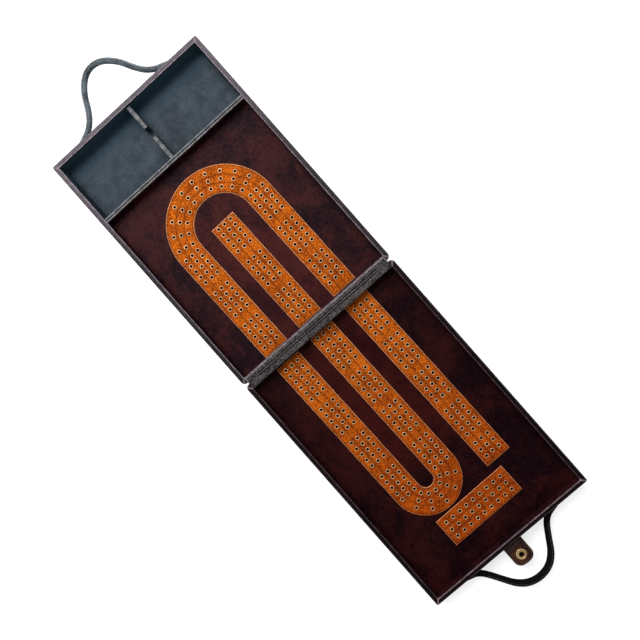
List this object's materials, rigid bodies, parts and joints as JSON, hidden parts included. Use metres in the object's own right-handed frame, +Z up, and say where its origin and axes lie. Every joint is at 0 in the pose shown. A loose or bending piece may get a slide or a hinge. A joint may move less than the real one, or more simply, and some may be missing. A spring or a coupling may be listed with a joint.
{
  "type": "folding cribbage case",
  "caption": "Folding leather-covered cribbage case: trays hinged along their rims, with a drilled peg track, card pockets, loop handles on the ends and a snap tab.",
  "frame": {"origin": "on the table, under the middle of the hinge line of the open case", "axes": "+X from the card tray over the hinge to the board tray, +Y to the rear, along the hinge line, +Z up"},
  "size_m": [0.718, 0.203, 0.027],
  "materials": {
    "case_leather": "dark brown, fine pebbled grain, worn edges",
    "lining_leather": "slate blue-grey, smooth",
    "hinge_leather": "slate grey, creased along the fold",
    "playing_leather": "very dark brown, fine grain",
    "track_leather": "mottled amber, smooth, with a stitched edge",
    "handle_leather": "rolled and stitched, satin",
    "tab_leather": "dark brown, stitched edge",
    "wood": "bare thin board",
    "brass": "polished, a little worn",
    "cord": "twisted cotton cord"
  },
  "bodies": {
    "card_tray": {"card_tray_bottom_leather": "case_leather", "card_tray_bottom_panel": "wood", "card_tray_front_wall": "wood", "card_tray_rear_wall": "wood", "card_tray_end_wall": "wood", "card_tray_hinge_wall": "wood", "card_tray_side_leather": "case_leather", "card_tray_peg_board": "wood", "card_tray_playing_leather": "playing_leather", "card_tray_wall_lining": "lining_leather", "card_hinge_leaf": "hinge_leather", "card_tray_eyelets": "brass", "card_handle_anchors": "handle_leather", "card_handle_rivets": "brass", "card_partition": "wood", "rear_pocket_lining": "lining_leather", "front_pocket_lining": "lining_leather", "deck_divider": "wood", "deck_divider_cap": "lining_leather", "card_turn_track": "track_leather", "card_middle_track": "track_leather", "snap_stud": "brass", "hinge_fold": "hinge_leather"},
    "board_tray": {"board_tray_bottom_leather": "case_leather", "board_tray_bottom_panel": "wood", "board_tray_front_wall": "wood", "board_tray_rear_wall": "wood", "board_tray_end_wall": "wood", "board_tray_hinge_wall": "wood", "board_tray_side_leather": "case_leather", "board_tray_peg_board": "wood", "board_tray_playing_leather": "playing_leather", "board_tray_wall_lining": "lining_leather", "board_hinge_leaf": "hinge_leather", "board_tray_eyelets": "brass", "board_handle_anchors": "handle_leather", "board_handle_rivets": "brass", "board_turn_track": "track_leather", "board_rear_track": "track_leather", "games_counter_track": "track_leather", "snap_tab_anchor": "tab_leather"},
    "card_handle": {"card_handle_leather": "handle_leather", "card_handle_core": "cord"},
    "board_handle": {"board_handle_leather": "handle_leather", "board_handle_core": "cord"},
    "snap_tab": {"snap_tab_leather": "tab_leather", "snap_tab_lining": "tab_leather", "snap_socket": "brass", "snap_cap": "brass"}
  },
  "joints": [
    {"name": "case_hinge", "type": "hinge", "parent": "card_tray", "child": "board_tray", "pos_m": [0, 0, 0.0273], "axis": [0, -1, 0], "range_deg": [0, 180], "deforming": ["hinge_fold"]},
    {"name": "card_handle_swing", "type": "hinge", "parent": "card_tray", "child": "card_handle", "pos_m": [-0.3089, 0, 0.0135], "axis": [0, 1, 0], "range_deg": [-9, 10]},
    {"name": "board_handle_swing", "type": "hinge", "parent": "board_tray", "child": "board_handle", "pos_m": [0.3089, 0, 0.0135], "axis": [0, -1, 0], "range_deg": [-9, 10]},
    {"name": "snap_tab_swing", "type": "hinge", "parent": "board_tray", "child": "snap_tab", "pos_m": [0.308, 0, 0.023], "axis": [0, -1, 0], "range_deg": [0, 90]}
  ]
}
